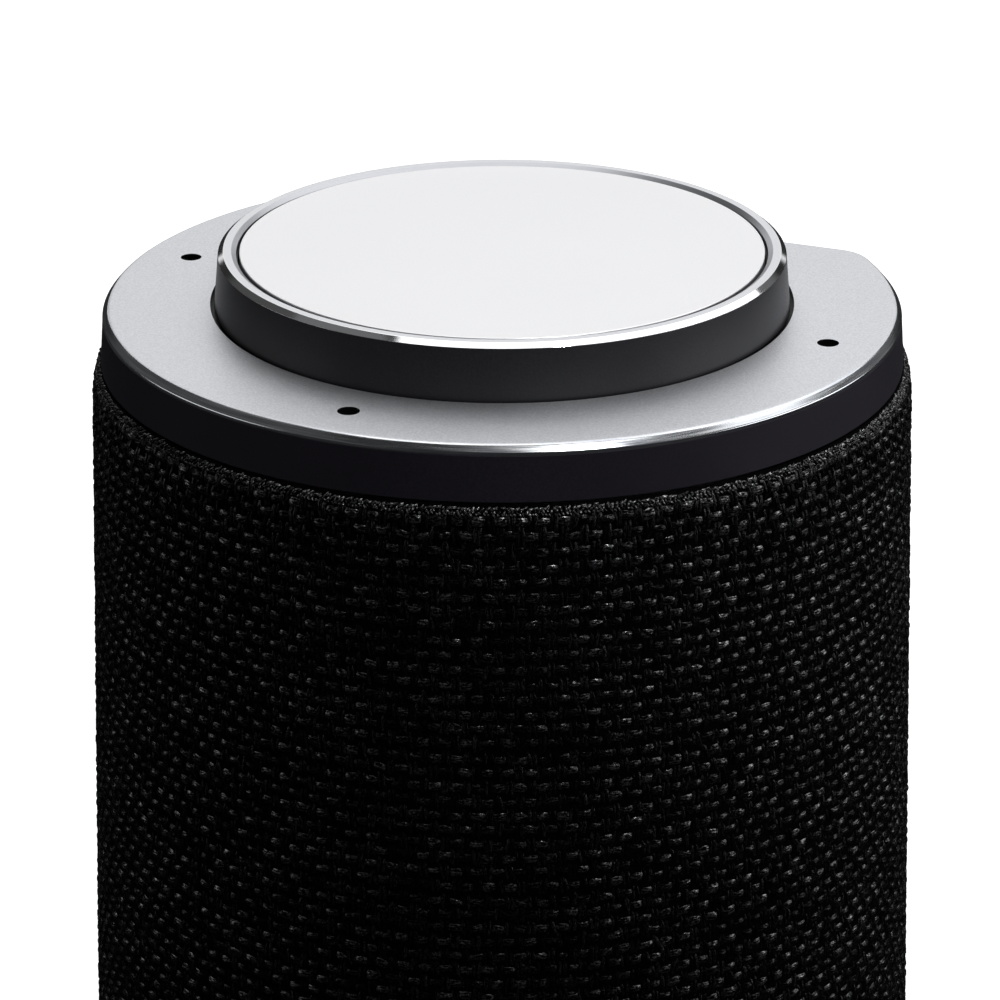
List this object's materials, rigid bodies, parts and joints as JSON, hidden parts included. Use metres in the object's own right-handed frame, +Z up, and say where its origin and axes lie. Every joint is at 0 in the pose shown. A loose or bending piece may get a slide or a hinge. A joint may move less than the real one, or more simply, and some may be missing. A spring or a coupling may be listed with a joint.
{
  "type": "conference speakerphone",
  "caption": "Fabric-covered tabletop conference speakerphone tower with a flat back, a metal top plate with microphone holes, a large turning dial round a touch disc, and a rear port panel.",
  "frame": {"origin": "on the table under the dial's axis, on the underside of the foot pad", "axes": "+Z up along the dial's axis, front towards -Y, flat back with the ports towards +Y, +X to the right seen from the front"},
  "size_m": [0.1212, 0.1001, 0.175],
  "materials": {
    "plate_aluminium": "bead-blasted satin, diamond-cut edge",
    "disc_aluminium": "bright satin",
    "bezel_aluminium": "satin land with a polished chamfer",
    "dial_black": "satin black",
    "band_black": "matte black",
    "fabric_black": "coarse basket weave",
    "moulded_black": "fine moulded grain",
    "moulded_grey": "fine moulded grain",
    "gear_white": "smooth acetal",
    "smoked_guide": "smoked translucent",
    "circuit_board": "solder mask",
    "component": "moulded package",
    "led_white": "clear lens",
    "steel": "zinc plated",
    "ferrite": "ground ferrite",
    "port_metal": "nickel plated shell",
    "cone_paper": "coated cone",
    "soft_rubber": "matte",
    "copper_former": "enamelled copper winding",
    "ribbon": "flat flexible cable"
  },
  "bodies": {
    "housing": {"top_plate": "plate_aluminium", "plate_screws": "steel", "top_band": "band_black", "top_chassis": "moulded_grey", "mic_gaskets": "soft_rubber", "mic_boards": "circuit_board", "mic_capsules": "port_metal", "dial_bearing": "gear_white", "bearing_screws": "steel", "bearing_retainer": "steel", "disc_spring": "steel", "halo_guide": "smoked_guide", "halo_board": "circuit_board", "halo_leds": "led_white", "dial_board": "circuit_board", "disc_switch": "component", "encoder_body": "component", "fabric_sleeve": "fabric_black", "grille_frame": "moulded_black", "speaker_enclosure": "moulded_grey", "woofer_basket": "steel", "woofer_surround": "soft_rubber", "woofer_cone": "cone_paper", "woofer_dust_cap": "cone_paper", "voice_coil": "copper_former", "woofer_magnet": "ferrite", "woofer_yoke": "steel", "left_radiator_surround": "soft_rubber", "right_radiator_surround": "soft_rubber", "left_radiator_plate": "steel", "right_radiator_plate": "steel", "acoustic_diffuser": "moulded_black", "foot_pad": "soft_rubber", "base_plate": "moulded_black", "bay_tub": "moulded_grey", "base_screws": "steel", "base_weight": "steel", "power_board": "circuit_board", "power_parts": "component", "io_board": "circuit_board", "ethernet_port": "port_metal", "usb_port": "port_metal", "dc_jack": "component", "audio_jack": "component", "rear_panel": "moulded_black", "key_switches": "component", "main_board": "circuit_board", "board_shields": "port_metal", "io_ribbon": "ribbon"},
    "dial": {"dial_bezel": "bezel_aluminium", "dial_ring": "dial_black", "dial_hub": "gear_white"},
    "disc": {"touch_disc": "disc_aluminium", "touch_sensor": "circuit_board", "disc_carrier": "moulded_grey"},
    "encoder_rotor": {"encoder_gear": "gear_white", "encoder_shaft": "steel"},
    "power_key": {"power_button": "moulded_black"},
    "pair_key": {"pair_button": "moulded_black"}
  },
  "joints": [
    {"name": "dial_turn", "type": "hinge", "parent": "housing", "child": "dial", "pos_m": [0, 0, 0.171], "axis": [0, 0, 1], "continuous": true},
    {"name": "encoder_turn", "type": "hinge", "parent": "housing", "child": "encoder_rotor", "pos_m": [0.026, 0, 0.163], "axis": [0, 0, 1], "continuous": true},
    {"name": "disc_press", "type": "slide", "parent": "housing", "child": "disc", "axis": [0, 0, -1], "range_m": [0, 0.0006], "stiffness_N_per_m": 900, "springref_m": -0.001, "deforming": ["disc_spring"]},
    {"name": "power_press", "type": "slide", "parent": "housing", "child": "power_key", "axis": [0, -1, 0], "range_m": [0, 0.0007], "stiffness_N_per_m": 400, "springref_m": -0.0005},
    {"name": "pair_press", "type": "slide", "parent": "housing", "child": "pair_key", "axis": [0, -1, 0], "range_m": [0, 0.0007], "stiffness_N_per_m": 400, "springref_m": -0.0005}
  ],
  "couplings": [
    {"joint": "encoder_turn", "follows": "dial_turn", "ratio": 6}
  ]
}
